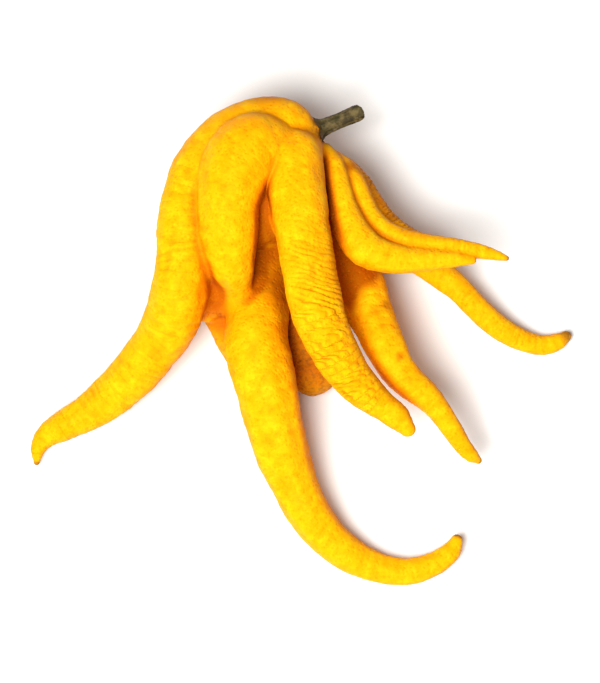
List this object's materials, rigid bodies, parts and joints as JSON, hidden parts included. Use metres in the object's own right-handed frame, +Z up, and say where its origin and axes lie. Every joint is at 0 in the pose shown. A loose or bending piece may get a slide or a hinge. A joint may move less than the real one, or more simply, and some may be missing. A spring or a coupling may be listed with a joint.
{
  "type": "buddha's hand citron",
  "caption": "Picked Buddha's hand citron lying on its back: a palm of fused segments that part into long tapering yellow fingers, with its calyx and cut stalk.",
  "frame": {"origin": "centre of the bounding box in plan, on the surface that the fruit lies on", "axes": "+Z up from the surface; +Y toward the crown, where the stalk is; the fingers spread along X and toward -Y"},
  "size_m": [0.2086, 0.1844, 0.0634],
  "materials": {
    "rind": "waxy yellow citron rind, deeper orange in its folds and toward the cut-off light, pitted with oil glands",
    "calyx": "dry dull green calyx with brown edges",
    "stalk": "dark olive-brown stalk with fine ridges and a pale cut end"
  },
  "bodies": {
    "root": {"fruit": "rind", "calyx": "calyx", "stem": "stalk"}
  },
  "joints": []
}
